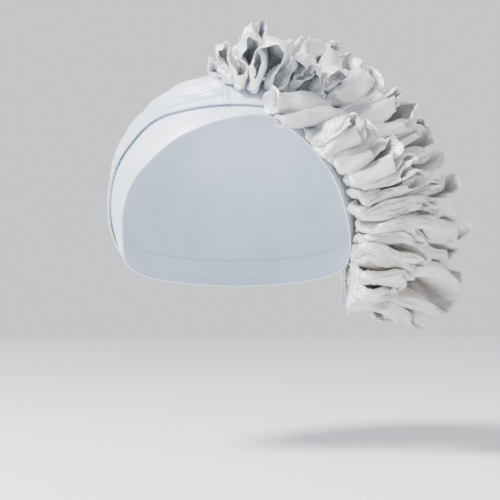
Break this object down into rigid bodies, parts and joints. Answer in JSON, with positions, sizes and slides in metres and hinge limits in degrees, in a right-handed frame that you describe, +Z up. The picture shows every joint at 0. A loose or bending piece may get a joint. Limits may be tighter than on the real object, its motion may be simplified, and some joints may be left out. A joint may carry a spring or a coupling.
{
  "type": "turban cap with a gathered side ruffle",
  "caption": "Ready-made turban cap of silver-white stretch cloth, with a thick gathered ruffle from the top of the forehead down the wearer's left side to below the ear.",
  "frame": {"origin": "the middle of the head at its widest level, inside the cap, where the band grips the head", "axes": "+X to the wearer's left, where the ruffle is; -Y the way the wearer faces; +Z up, through the crown"},
  "size_m": [0.2365, 0.1821, 0.1929],
  "materials": {
    "smooth_cloth": "smooth silvery stretch cloth with a soft sheen",
    "gathered_cloth": "off-white metallic cloth with fine crinkle lines"
  },
  "bodies": {
    "root": {"forehead_band": "smooth_cloth", "crown_wrap": "smooth_cloth", "ruffle_crest": "gathered_cloth", "ruffle_front": "gathered_cloth", "ruffle_back": "gathered_cloth", "rolled_end": "gathered_cloth", "tucked_end": "gathered_cloth", "side_tail": "smooth_cloth"}
  },
  "joints": []
}
